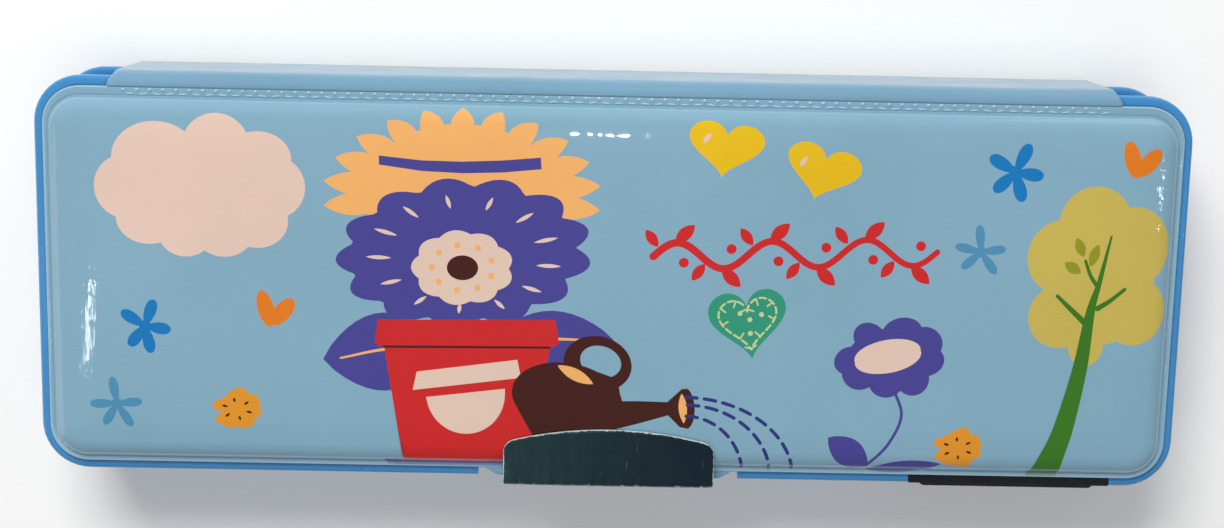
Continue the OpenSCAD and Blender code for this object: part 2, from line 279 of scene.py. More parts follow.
def inside(x, y, cx, cy, hx, hy, r):
    """How far points lie inside a rounded rectangle's edge."""
    qx, qy = np.abs(x - cx) - (hx - r), np.abs(y - cy) - (hy - r)
    out = np.hypot(np.maximum(qx, 0), np.maximum(qy, 0)) + np.minimum(np.maximum(qx, qy), 0)
    return r - out


def bridge(faces, a, b, n, flip=False):
    """Quads between two loops of n points that start at a and b."""
    for i in range(n):
        j = (i + 1) % n
        face = (a + i, a + j, b + j, b + i)
        faces.append(face[::-1] if flip else face)


def tube(faces, base, rings, n, flip=False):
    """Quads along a row of rings, n points each, and the two faces that close it."""
    for r in range(rings - 1):
        bridge(faces, base + r * n, base + (r + 1) * n, n, flip)
    first, last = (tuple(base + r * n + i for i in range(n)) for r in (0, rings - 1))
    faces.extend((first, last[::-1]) if flip else (first[::-1], last))


def slab_faces(faces, base, rows, columns):
    """Faces of a slab: a front and a back grid of points, rows by columns, and the walls between them."""
    size = rows * columns
    for i in range(rows - 1):
        for k in range(columns - 1):
            a = base + i * columns + k
            face = (a, a + 1, a + columns + 1, a + columns)
            faces.append(face)
            faces.append(tuple(size + q for q in face[::-1]))
    walls = [(i * columns + k, (i + 1) * columns + k) for i in range(rows - 1) for k in (0, columns - 1)]
    walls += [(i * columns + k, i * columns + k + 1) for k in range(columns - 1) for i in (0, rows - 1)]
    faces.extend((base + a, base + b, base + size + b, base + size + a) for a, b in walls)


def fix_normals(ob):
    """Turns every face outwards, solid by solid."""
    bm = bmesh.new()
    bm.from_mesh(ob.data)
    bmesh.ops.recalc_face_normals(bm, faces=bm.faces)
    bm.to_mesh(ob.data)
    bm.free()
    ob.data.update()


def flatten(polygons):
    """Shades faces flat."""
    for poly in polygons:
        poly.use_smooth = False


def wobble(x, y, z):
    """Smooth seeded noise between about -1 and 1."""
    return noise.noise(Vector((x, y, z)))


def noises(points, scale, seed):
    return np.array([wobble(x * scale[0] + seed, y * scale[1], seed * 1.7) for x, y in points])


# ---------------------------------------------------------------- the printed picture, in mm on the lid

def turned(points, cx, cy, turn):
    """Points turned by an angle in degrees and moved to a centre."""
    c, s = cos(radians(turn)), sin(radians(turn))
    return [(cx + x * c - y * s, cy + x * s + y * c) for x, y in points]


def ellipse(cx, cy, rx, ry, turn=0.0, n=48, start=0.0, end=360.0):
    steps = n if abs(end - start) >= 360 else n + 1
    angles = [radians(start + (end - start) * i / n) for i in range(steps)]
    return turned([(rx * cos(t), ry * sin(t)) for t in angles], cx, cy, turn)


def scalloped(cx, cy, rx, ry, count, depth, turn=0.0, n=144, sharp=1.0):
    """An ellipse whose edge is a number of lobes."""
    pts = []
    for i in range(n):
        t = 2 * pi * i / n
        k = 1 - depth + depth * abs(sin(count * t / 2)) ** sharp
        pts.append((rx * k * cos(t), ry * k * sin(t)))
    return turned(pts, cx, cy, turn)


HEART_POINTS = 60


def heart(cx, cy, width, turn=0.0, tall=1.0):
    k = width / 32
    pts = []
    for i in range(HEART_POINTS):
        t = 2 * pi * (i + 0.5) / HEART_POINTS
        y = 13 * cos(t) - 5 * cos(2 * t) - 2 * cos(3 * t) - cos(4 * t) + 2.5
        pts.append((16 * sin(t) ** 3 * k, y * k * tall))
    return turned(pts, cx, cy, turn)


def curve(points, n=12):
    """A smooth open line through the points."""
    p = [np.array(q, float) for q in points]
    p = [2 * p[0] - p[1], *p, 2 * p[-1] - p[-2]]
    out = []
    for i in range(1, len(p) - 2):
        for k in range(n):
            t = k / n
            a, b, c, d = p[i - 1 : i + 3]
            square, cube = 2 * a - 5 * b + 4 * c - d, 3 * b - a - 3 * c + d
            out.append(tuple(0.5 * (2 * b + (c - a) * t + square * t * t + cube * t ** 3)))
    out.append(tuple(p[-2]))
    return out


def ribbon(points, width, end_width=None):
    """A band along a line, tapering from width to end_width, with round ends."""
    p = np.array(points, float)
    end_width = width if end_width is None else end_width
    d = np.gradient(p, axis=0)
    d /= np.linalg.norm(d, axis=1)[:, None]
    side = np.c_[-d[:, 1], d[:, 0]]
    w = np.linspace(width, end_width, len(p))[:, None] / 2
    left, right = p + side * w, p - side * w
    round_end = [(sin(t), cos(t)) for t in np.linspace(0.4, pi - 0.4, 5)]
    tip = [tuple(p[-1] + d[-1] * w[-1] * s + side[-1] * w[-1] * c) for s, c in round_end]
    tail = [tuple(p[0] - d[0] * w[0] * s - side[0] * w[0] * c) for s, c in round_end]
    return [*map(tuple, left), *tip, *map(tuple, right[::-1]), *tail]


def leaf(a, b, width, n=14):
    """A pointed oval from a to b."""
    a, b = np.array(a, float), np.array(b, float)
    d = b - a
    side = np.array((-d[1], d[0])) / np.linalg.norm(d)
    t = np.linspace(0, 1, n)
    w = np.sin(np.pi * t) ** 0.8 * width / 2
    up = [tuple(a + d * k + side * v) for k, v in zip(t, w)]
    down = [tuple(a + d * k - side * v) for k, v in zip(t[1:-1], w[1:-1])]
    return up + down[::-1]


def dashes(points, on, off, width):
    """A dashed line along points."""
    p = np.array(points, float)
    run = np.r_[0, np.cumsum(np.linalg.norm(np.diff(p, axis=0), axis=1))]
    out, s = [], 0.0
    while s + on < run[-1]:
        at = np.linspace(s, s + on, 5)
        line = np.c_[np.interp(at, run, p[:, 0]), np.interp(at, run, p[:, 1])]
        out.append(ribbon(line, width))
        s += on + off
    return out


def star_flower(cx, cy, r, turns, width=0.25):
    """Petals like little paddles, each at its own angle."""
    out = [ellipse(cx, cy, r * 0.22, r * 0.22, n=20)]
    for k, turn in enumerate(turns):
        reach = r * (1.0 + 0.06 * sin(3 * k + 1))
        petal = []
        for i in range(30):
            a = 2 * pi * i / 30
            along = reach * (0.52 + 0.48 * cos(a))
            wide = r * width * sin(a) * (0.62 + 0.46 * along / reach)
            petal.append((along, wide))
        out.append(turned(petal, cx, cy, turn))
    return out


def petal_heart(x, y):
    """A heart of two petals that meet at its tip."""
    return [ellipse(x - 1.15, y + 3.3, 1.62, 3.75, 15), ellipse(x + 2.15, y + 2.7, 1.72, 3.35, -40)]


CLOUD = (
    (-81, 18.5, 17.5, 10.5), (-90.3, 24.4, 8.6, 7.2), (-78.4, 27.0, 6.6, 6.4), (-70.2, 24.6, 6.6, 5.4),
    (-67.2, 19.0, 6.3, 6.3), (-70.5, 12.2, 6.2, 5.4), (-77.0, 9.8, 5.8, 4.9), (-84.6, 9.6, 5.4, 4.8),
    (-91.8, 12.4, 6.4, 5.2), (-96.2, 18.6, 6.2, 6.4),
)
CROWN = (
    (95.6, 15.0, 7.2, 7.4), (89.6, 8.0, 7.2, 7.6), (103.6, 10.4, 7.0, 8.0), (97, 4, 11.0, 11.0),
    (89.4, -4.0, 6.2, 6.4), (104.2, -2.6, 6.4, 7.0), (95.0, -9.6, 3.6, 4.4), (97, -1.5, 9, 8.2),
)
TRUNK = ((88.0, -38.6), (89.3, -34.0), (91.6, -27.0), (94.2, -14.5), (95.6, -3.0), (97.0, 3.0), (98.9, 12.6))
PETALS = (
    (55.9, -13.0, 8.8, 6.0, 8), (51.8, -9.2, 3.6, 3.0, -40), (58.2, -7.8, 4.0, 3.0, 10),
    (62.8, -10.0, 3.6, 3.4, -20), (63.0, -13.6, 3.9, 3.2, 10), (60.6, -17.2, 3.4, 3.6, 20),
    (55.4, -17.8, 3.6, 3.5, 0), (50.0, -16.2, 3.6, 3.6, 0), (47.9, -13.8, 3.2, 2.8, 30),
)
BAND = (
    (-46.4, 25.7), (-38, 24.9), (-30, 24.8), (-22, 25.2), (-14.6, 25.9),
    (-14.4, 23.6), (-22, 22.8), (-30, 22.5), (-38, 22.8), (-46.4, 23.9),
)


def around(count, first=0.0):
    """Cosines and sines of a number of directions, evenly round a circle."""
    angles = [first + 2 * pi * k / count for k in range(count)]
    return [(cos(t), sin(t)) for t in angles]


def picture():
    """The print: (colour, outline) from the back to the front."""
    art = []

    def put(colour, *outlines):
        art.extend((colour, o) for o in outlines)

    put("cream", *[ellipse(*c) for c in CLOUD])
    # Half a sun with short rays behind the big flower, with one narrow band across it
    for k in range(13):
        t = radians(-8 + 196 * k / 12)
        x, y = cos(t), sin(t)
        put("apricot", leaf((-30 + 15 * x, 18 + 11 * y), (-30 + 27.5 * x, 18 + 17.3 * y), 4.6))
    put("apricot", ellipse(-30, 18, 19.5, 14.2, n=72))
    put("indigo", BAND)
    # The big flower in its pot
    put("indigo", leaf((-33, -12), (-57.5, -15.5), 16), leaf((-25, -12), (0.5, -10.5), 13))
    put("indigo", scalloped(-29.5, 6.5, 25.5, 15.2, 13, 0.13, 4))
    put("cream", scalloped(-29.8, 3.6, 10.2, 7.6, 9, 0.10))
    put("brown", ellipse(-29.8, 3.6, 3.1, 2.5))
    for c, s in around(9, pi / 9):
        put("apricot", ellipse(-29.8 + 6.1 * c, 3.6 + 4.6 * s, 0.62, 0.62, n=16))
    for c, s in around(13, radians(4) + pi / 13):
        put("cream", leaf((-29.5 + 14.5 * c, 6.0 + 9.6 * s), (-29.5 + 19.5 * c, 6.3 + 12.0 * s), 0.8))
    for vein in (((-37, -12.6), (-45.5, -13.3), (-54, -15.2)), ((-21, -11.6), (-12, -10.55), (-3, -10.7))):
        put("apricot", ribbon(curve(vein), 0.8, 0.4))
    put("indigo", [(-44, -38.5), (-14, -38.5), (-12.5, -36.3), (-45.5, -36.3)])
    put("red", [(-41.5, -36.6), (-16.5, -36.6), (-12.0, -11.5), (-45.5, -11.5)])
    put(
        "red", [(-47.2, -11.9), (-46.6, -7.2), (-11.2, -6.6), (-10.4, -11.3), (-11.5, -12.2), (-46.5, -12.6)]
    )
    put("brown", ribbon(((-45.4, -12.7), (-30, -12.5), (-12.3, -12.3)), 0.45))
    put("cream", [(-39.6, -21.5), (-17.9, -18.6), (-18.7, -14.9), (-38.8, -17.7)])
    put("cream", [(-36.9, -22.9), *ellipse(-29.0, -22.0, 7.9, 8.4, 6, 30, 186, 354), (-21.1, -20.9)])
    # Watering can with its handle, and its water
    put("brown", ellipse(-2.6, -15.4, 6.9, 5.6, -14))
    put("sky", ellipse(-2.0, -15.0, 4.2, 3.2, -18))
    put("brown", ellipse(-8.6, -22.6, 11.2, 7.2, -10, 60))
    put("brown", [(-18.5, -25), (-14, -33), (-2, -33), (2.6, -25), (1.5, -18.5), (-4, -16.6), (-12, -17.4)])
    put("apricot", leaf((-10.6, -15.9), (-3.4, -19.6), 2.4))
    put("brown", ribbon(((-2, -26.4), (6, -25.2), (12.4, -24.3)), 6.6, 2.5))
    mouth = ellipse(15.2, -24.3, 1.9, 4.3, 4, 18, 80, -80)
    put("brown", [(11.6, -23.0), (14.4, -20.3), (15.6, -20.2), *mouth, (14.2, -28.2), (11.6, -25.6)])
    put("apricot", leaf((14.4, -21.2), (15.0, -27.4), 1.7))
    fall = [(sin(t), 1 - cos(t)) for t in np.linspace(0, pi / 2, 40)]
    for x0, y0, x1 in ((15.2, -22.0, 37.4), (15.6, -23.6, 32.8), (15.4, -25.9, 27.2)):
        arc = [(x0 + (x1 - x0) * a, y0 - (38.8 + y0) * b) for a, b in fall]
        put("navy", *dashes(arc, 2.3, 1.5, 0.72))
    # Hearts, a vine with berries, and a stitched heart
    for x, y, turn in ((21.7, 28.0, -7), (40.8, 23.8, -15)):
        put("yellow", heart(x, y, 15.0, turn, 0.80))
        put("cream", leaf((x - 4.4, y + 1.4), (x - 2.9, y + 3.4), 1.0))
    wave, swing = 18.8, 2.7

    def stem(x):
        return 7.6 + (x - 36) * 0.035

    at = np.linspace(8, 64.4, 70)
    put("red", ribbon([(x, stem(x) + swing * sin((x - 8) * 2 * pi / wave)) for x in at], 1.6, 1.2))
    for k in range(6):
        x = 8 + wave * (0.25 + 0.5 * k)
        up = 1 if k % 2 == 0 else -1
        y = stem(x) + up * swing
        put("red", leaf((x - 0.4, y), (x + 3.4, y + up * 3.6), 2.6))
        put("red", leaf((x - 3.8, y - up * 0.9), (x - 6.3, y + up * 2.5), 2.1))
        put("red", ellipse(x + 1.4, y - up * 4.0, 1.0, 1.0, n=20))
    put("green", heart(27.4, -7.0, 15.6, 8, 1.0))
    stitched = heart(27.4, -6.9, 11.6, 8, 1.0)
    put("sage", *dashes([*stitched, stitched[0]], 1.3, 0.7, 0.40))
    for k in range(2, HEART_POINTS, 5):
        (x, y), (u, v) = stitched[k], stitched[(k + 1) % HEART_POINTS]
        d = dist((x, y), (u, v))
        put("sage", ribbon(((x, y), (x + (v - y) / d * 1.3, y - (u - x) / d * 1.3)), 0.34))
    for x, y in ((27.6, -5.8), (25.6, -4.6), (29.9, -4.7), (27.8, -8.6)):
        put("sage", ellipse(x, y, 0.5, 0.5, n=14))
    # Small flowers and hearts
    put("blue", *star_flower(-92.9, -9.4, 5.4, (71, -8, -78, 232, 148)))
    put("blue", *star_flower(79.1, 24.9, 5.9, (65, -8, -74, 224, 150)))
    put("pale_blue", *star_flower(-98.8, -25.4, 5.3, (100, 6, -58, 239, 181), 0.2))
    put("pale_blue", *star_flower(73.1, 8.8, 5.2, (96, 8, -54, 223, 168), 0.2))
    put("orange", *petal_heart(-67.7, -8.7), *petal_heart(103.3, 24.5))
    for x, y, turn in ((-74.8, -26.1, 12), (70.5, -31.6, 5)):
        put("amber", scalloped(x, y, 5.2, 4.0, 6, 0.45, turn, 96, 0.75))
        put("amber", scalloped(x + 0.4, y, 4.6, 4.3, 5, 0.4, turn + 40, 90, 0.7))
        for c, s in around(6, radians(turn + 30)):
            put("brown", leaf((x + 1.9 * c, y + 1.4 * s), (x + 3.2 * c, y + 2.4 * s), 0.5))
    # Tree
    put("crown", *[ellipse(*c) for c in CROWN])
    trunk = curve(TRUNK)
    half = np.interp(
        np.linspace(0, 1, len(trunk)), (0, 0.1, 0.25, 0.5, 0.7, 1), (3.3, 2.9, 2.35, 1.5, 0.8, 0.2)
    )
    left, right = [[(x + k * w, y) for (x, y), w in zip(trunk, half)] for k in (-1, 1)]
    put("leaf", left + right[::-1])
    put("leaf", ribbon(curve(((95.3, -5.8), (91.8, -2.6), (88.8, 0.2))), 1.3, 0.7))
    put("leaf", ribbon(curve(((97.0, -2.2), (99.4, -0.6), (102.2, 1.8))), 1.1, 0.7))
    put("leaf", ribbon(curve(((96.9, 2.0), (95.2, 4.4), (94.0, 7.4))), 0.9, 0.6))
    put("olive", leaf((93.2, 4.9), (89.9, 7.0), 2.2), leaf((93.6, 8.2), (92.0, 12.0), 2.0))
    put("olive", leaf((95.0, 6.2), (96.4, 10.8), 2.0))
    # Indigo flower on its stem
    put("indigo", ribbon(curve(((57.0, -19.5), (58.8, -25.0), (56.4, -31.0), (52.2, -35.8))), 0.6))
    put("indigo", leaf((52.6, -36.0), (44.2, -29.8), 6.0), leaf((52.2, -36.9), (67.4, -35.1), 3.0))
    put("indigo", *[ellipse(*c) for c in PETALS])
    put("cream", scalloped(55.5, -12.8, 7.4, 3.4, 2, 0.10, 12, 60, 0.9))
    return art


# ---------------------------------------------------------------- the lid's padded cover

SKIN_LO, SKIN_HI = box_mm("lid_skin")
FOAM_LO, FOAM_HI = box_mm("lid_foam")
BOARD_LO, BOARD_HI = box_mm("lid_board")
# Rounded rectangles: centre, half sizes and corner radius
FLANGE_R, PAD_R, LID_BOARD_R, BASE_BOARD_R = 7.5, 6.3, 4.7, 4.6
FLANGE = (0.0, 0.0, SKIN_HI[0], SKIN_HI[1], FLANGE_R)


def grown(low, high, by, radius):
    """A rounded rectangle round a node's box, larger by some mm on each side."""
    return (0.0, (low[1] + high[1]) / 2, high[0] + by, (high[1] - low[1]) / 2 + by, radius)


GAP = 0.05  # the film's clearance round a board
PAD = grown(FOAM_LO, FOAM_HI, 1.6, PAD_R)
FLANGE_TOP = SKIN_LO[2] + 0.5
PAD_RISE, PAD_CROWN = 2.25, 0.60  # the pad's shoulder above the flange, and its middle above that
SHOULDER_RUN, CROWN_RUN = 3.6, 10.0  # how far in from the pad's edge each is reached

FILM_CELL = 2.0  # the cloth run's grid
FILM_FRAMES = 20
FILM_SLACK = 0.012
FILM_PIN = 1.2  # how far in from the pad's edge the film is held
CREASE = 0.07  # the height that nearly all of the creases stay under
RUN_SCALE = 1 / 50  # mm to the run's units: twenty times life size, where the solver is steady


def smoothed(z, window=9, rounds=3):
    """A moving average along both axes of a grid, its edge rows repeated."""
    half = window // 2
    for _ in range(rounds):
        for axis in (0, 1):
            wide = np.pad(z, [(half, half) if a == axis else (0, 0) for a in (0, 1)], "edge")
            total = np.insert(np.cumsum(wide, axis), 0, 0.0, axis)
            n = total.shape[axis]
            z = (np.take(total, range(window, n), axis) - np.take(total, range(n - window), axis)) / window
    return z


def drawn_film():
    """A cloth run of the film over the pad: held at the weld, a little slack, and pushed up from below.

    Returns the creases it leaves, in mm, on a grid of FILM_CELL, without the broad swell."""
    cx, cy, hx, hy, _ = PAD
    xs = np.linspace(-hx, hx, int(2 * hx / FILM_CELL) + 1)
    ys = np.linspace(cy - hy, cy + hy, int(2 * hy / FILM_CELL) + 1)
    flat = [(x * RUN_SCALE, y * RUN_SCALE, 0.0) for x in xs for y in ys]
    q = len(ys)
    corners = [i * q + k for i in range(len(xs) - 1) for k in range(q - 1)]
    me = bpy.data.meshes.new("film_run")
    me.from_pydata(flat, [], [(a, a + q, a + q + 1, a + 1) for a in corners])
    ob = linked("film_run", me)
    gx, gy = np.meshgrid(xs, ys, indexing="ij")
    held = np.flatnonzero((inside(gx, gy, *PAD) < FILM_PIN).ravel())
    pin = ob.vertex_groups.new(name="held")
    pin.add([int(i) for i in held], 1.0, "REPLACE")
    cloth = ob.modifiers.new("cloth", "CLOTH")
    c = cloth.settings
    c.quality = 5
    c.mass = 0.2
    c.tension_stiffness = c.compression_stiffness = 25
    c.shear_stiffness = 12
    c.bending_stiffness = 0.15
    c.shrink_min = -FILM_SLACK
    c.use_pressure = True
    c.uniform_pressure_force = 0.6
    c.vertex_group_mass = "held"
    c.effector_weights.gravity = 0.0
    cloth.point_cache.frame_start, cloth.point_cache.frame_end = 1, FILM_FRAMES
    scene = bpy.context.scene
    for f in range(1, FILM_FRAMES + 1):
        scene.frame_set(f)
    done = ob.evaluated_get(bpy.context.evaluated_depsgraph_get())
    co = np.empty(len(flat) * 3)
    done.data.vertices.foreach_get("co", co)
    z = co.reshape(len(xs), q, 3)[..., 2] / RUN_SCALE
    scene.frame_set(1)
    bpy.data.objects.remove(ob)
    bpy.data.meshes.remove(me)
    # Take off the broad swell, which the foam and its board don't follow
    crease = z - smoothed(z)
    crease -= np.median(crease)
    usual = max(np.percentile(np.abs(crease), 97), 1e-6)
    return xs, ys, np.clip(crease / usual, -1.3, 1.3) * CREASE


FILM_RUN = drawn_film()


def creases(x, y):
    """The cloth run's creases at points, read off its grid."""
    xs, ys, z = FILM_RUN
    u = np.clip((x - xs[0]) / (xs[1] - xs[0]), 0, len(xs) - 1.001)
    v = np.clip((y - ys[0]) / (ys[1] - ys[0]), 0, len(ys) - 1.001)
    i, k = u.astype(int), v.astype(int)
    a, b = u - i, v - k
    a, b = a * a * (3 - 2 * a), b * b * (3 - 2 * b)
    low, high = (z[i, k + j] * (1 - a) + z[i + 1, k + j] * a for j in (0, 1))
    return low * (1 - b) + high * b


def pad_height(pts):
    """Height of the lid's cover, in mm, at points on the lid."""
    p = np.asarray(pts, float)
    x, y = p[:, 0], p[:, 1]
    e = inside(x, y, *PAD)
    d = inside(x, y, *FLANGE)
    wall = 1 - np.clip(e / SHOULDER_RUN, 0, 1)
    side = np.sqrt(np.maximum(0, 1 - wall ** 2))
    crown = 1 - (1 - np.clip(e / CROWN_RUN, 0, 1)) ** 2
    # The film is drawn a little tight in places, most at the ends and corners
    ends = np.clip((np.abs(x) - 70) / 40, 0, 1)
    near = np.exp(-((e - 2.6) / 2.6) ** 2) * np.clip(e / 0.8, 0, 1)
    pull = noises(p, (0.34, 0.34), 3.0) * 0.6 + noises(p, (0.9, 0.9), 9.0) * 0.3
    long = noises(p, (0.030, 0.055), 5.0)
    up = PAD_RISE * side + PAD_CROWN * crown + creases(x, y) * np.clip((e - 0.6) / 2.0, 0, 1)
    up = up - near * (0.008 + 0.07 * ends) * (1 + pull) + 0.022 * long * np.clip(e / 6, 0, 1)
    weld = -0.14 * np.exp(-((e + 0.20) / 0.16) ** 2) - 0.12 * (1 - np.clip(d / 0.3, 0, 1)) ** 2
    return FLANGE_TOP + np.where(e > 0, np.minimum(up, SKIN_HI[2] - FLANGE_TOP - 0.02), weld)


def clamp_in(pts, margin=0.05):
    """Points moved onto the lid where they lie beyond its edge."""
    hx, hy, r = (v - margin for v in FLANGE[2:])
    out = []
    for x, y in pts:
        bx, by = min(max(x, -(hx - r)), hx - r), min(max(y, -(hy - r)), hy - r)
        dx, dy = x - bx, y - by
        k = hypot(dx, dy)
        out.append((bx + dx / k * r, by + dy / k * r) if k > r else (x, y))
    return out


def within(points, outline):
    """Which points lie inside an outline, counting its turns round each one."""
    poly = np.array(outline)
    a, b = poly, np.roll(poly, -1, axis=0)
    hit = np.zeros(len(points), bool)
    near = np.all((points >= poly.min(axis=0)) & (points <= poly.max(axis=0)), axis=1)
    p = points[near][:, None, :]
    cross = (b[:, 0] - a[:, 0]) * (p[..., 1] - a[:, 1]) - (b[:, 1] - a[:, 1]) * (p[..., 0] - a[:, 0])
    rising = (a[:, 1] <= p[..., 1]) & (b[:, 1] > p[..., 1]) & (cross > 0)
    falling = (a[:, 1] > p[..., 1]) & (b[:, 1] <= p[..., 1]) & (cross < 0)
    hit[near] = rising.sum(axis=1) != falling.sum(axis=1)
    return hit


# Loops of points that carry the lid's profile: in from the flange's edge, and in from the pad's
FLANGE_LOOPS = (0.07, 0.15, 0.25, 0.4)
PAD_LOOPS = (
    -0.5, -0.3, -0.15, 0.0, 0.03, 0.12, 0.28, 0.5, 0.8, 1.15, 1.55, 2.0, 2.5, 3.0,
    3.6, 4.4, 5.4, 6.6, 8.2, 10.0,
)
# Grids of points on the pad, finer at the ends: columns, rows, how far each is shifted, and sides
PAD_GRIDS = (
    (np.arange(-92, 92.1, 2.4), np.arange(-27, 27, 2.4), 0.6, (1,)),
    (np.arange(92.8, 106, 1.05), np.arange(-31, 30.5, 1.05), 0.25, (-1, 1)),
)


def lid_cover():
    """The lid's film: a sheet printed in its faces' colours, and the welded flange under it."""
    rim = rounded_loop(*FLANGE)
    n = len(rim)
    verts, edges = [Vector(p) for p in rim], []
    art = [(colour, clamp_in(outline)) for colour, outline in picture()]
    for _, outline in art:
        clean = []
        for p in outline:
            if not clean or dist(p, clean[-1]) > 0.02:
                clean.append(p)
        first = len(verts)
        verts.extend(Vector(p) for p in clean)
        edges.extend((first + i, first + (i + 1) % len(clean)) for i in range(len(clean)))
    cx, cy, hx, hy, r = PAD
    for d in FLANGE_LOOPS:
        verts.extend(Vector(p) for p in rounded_loop(0, 0, *(v - d for v in FLANGE[2:])))
    for e in PAD_LOOPS:
        verts.extend(Vector(p) for p in rounded_loop(cx, cy, hx - e, hy - e, max(r - e, 0.8)))
    for xs, ys, shift, sides in PAD_GRIDS:
        for side in sides:
            grid = [(side * x + shift * sin(7 * y), y + shift * sin(5 * x)) for x in xs for y in ys]
            verts.extend(Vector(p) for p in grid)
    v, _, f, origin, _, _ = geometry.delaunay_2d_cdt(verts, edges, [list(range(n))], 0, 1e-5)
    index = {}
    for i, sources in enumerate(origin):
        for s in sources:
            index.setdefault(s, i)
    top = np.array([(p.x, p.y) for p in v])
    z = pad_height(top)
    step = 0.03
    slopes = [(pad_height(top - d) - pad_height(top + d)) / (2 * step) for d in np.eye(2) * step]
    up = np.c_[slopes[0], slopes[1], np.ones(len(top))]
    up /= np.linalg.norm(up, axis=1)[:, None]
    points = [(x, y, h) for (x, y), h in zip(top, z)]
    tri = np.array(f)
    corner = top[tri]
    u, w = corner[:, 1] - corner[:, 0], corner[:, 2] - corner[:, 0]
    tri = tri[np.abs(u[:, 0] * w[:, 1] - u[:, 1] * w[:, 0]) > 1e-9]
    middle = top[tri].mean(axis=1)
    colours = np.tile(BLUE, (len(tri), 1))
    for colour, outline in art:
        colours[within(middle, outline)] = PRINTS[colour]
    mesh_faces = [tuple(face) for face in tri]
    printed = len(mesh_faces)
    # Under the print: the edge of the film, the welded flange and the recess that the board fills
    ring = [index[i] for i in range(n)]
    recess = rounded_loop(*grown(BOARD_LO, BOARD_HI, GAP, LID_BOARD_R))
    low = len(points)
    inner, roof = low + n, low + 2 * n
    for ring_points, height in (
        (rim, SKIN_LO[2] + 0.02), (recess, SKIN_LO[2] + 0.02), (recess, BOARD_HI[2] + GAP)
    ):
        points.extend((x, y, height) for x, y in ring_points)
    for i in range(n):
        j = (i + 1) % n
        mesh_faces.append((ring[j], ring[i], low + i, low + j))
    bridge(mesh_faces, low, inner, n, flip=True)
    bridge(mesh_faces, inner, roof, n, flip=True)
    mesh_faces.append(tuple(range(roof, roof + n))[::-1])
    ob = mesh_object(
        "lid_cover", points, mesh_faces, film("lid_print", attribute="print", crinkled=PAD[2] * MM)
    )
    me = ob.data
    paint = me.color_attributes.new("print", "FLOAT_COLOR", "CORNER")
    values = np.ones((len(me.loops), 4), np.float32)
    normals = np.zeros((len(me.loops), 3))
    for k, poly in enumerate(me.polygons):
        span = slice(poly.loop_start, poly.loop_start + poly.loop_total)
        values[span, :3] = colours[k] if k < printed else WHITENED_AND_HIGHLIGHT
        if k < printed:
            normals[span] = up[list(poly.vertices)]
    flatten(me.polygons[printed:])
    # Painted highlight: a thin pale line along the flange's outer edge, and a paler band on the flange along
    # the front, mixed towards the pale film colour
    d, e = inside(top[:, 0], top[:, 1], *FLANGE), inside(top[:, 0], top[:, 1], *PAD)
    front = np.clip((-30 - top[:, 1]) / 6, 0, 1)
    pale = 0.75 * np.exp(-((d / 0.2) ** 2)) + 0.38 * np.clip(-e / 0.25, 0, 1) * front
    pale = np.append(np.minimum(pale, 1), np.zeros(len(points) - len(top)))
    share = pale[[loop.vertex_index for loop in me.loops]][:, None]
    values[:, :3] = values[:, :3] * (1 - share) + np.array(WHITENED_AND_HIGHLIGHT) * share
    paint.data.foreach_set("color", values.ravel())
    me.normals_split_custom_set([tuple(v) for v in normals])
    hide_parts("lid_skin", "lid_foam")
    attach(ob, "lid")


def weld_marks():
    """The row of dots, and the wavy row of dashes, where the film is welded along the hinge."""
    points, faces = [], []
    half, pitch = 98.2, 2.6
    foot = FLANGE_TOP - 0.06
    n = 10
    # Each row: its place, its shift along the row, and a mark's half sizes and height
    rows = ((37.45, 0.0, 0.40, 0.36, 0.26), (36.62, 0.5, 0.92, 0.20, 0.16))
    for k in range(int(2 * half / pitch)):
        for y, offset, rx, ry, tall in rows:
            x = -half + pitch * (k + 0.5 + offset)
            base = len(points)
            lift = 1 + 0.18 * wobble(x, y * 3, 1)
            slant = 0.16 * sin(2.4 * k) if offset else 0.0
            for share, rise in ((1.0, 0.0), (0.86, 0.5), (0.5, 0.87)):
                for c, s in around(n):
                    across = ry * share * s + slant * share * c
                    points.append((x + rx * share * c * lift, y + across, foot + tall * lift * rise))
            points.append((x, y, foot + tall * lift))
            for r in range(2):
                bridge(faces, base + n * r, base + n * (r + 1), n)
            for i in range(n):
                faces.append((base + 2 * n + i, base + 2 * n + (i + 1) % n, base + 3 * n))
            faces.append(tuple(base + i for i in range(n))[::-1])
    ob = mesh_object("weld_marks", points, faces, MARKS_PAINTED_HIGHLIGHT)
    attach(ob, "lid")


# ---------------------------------------------------------------- back cover and spine

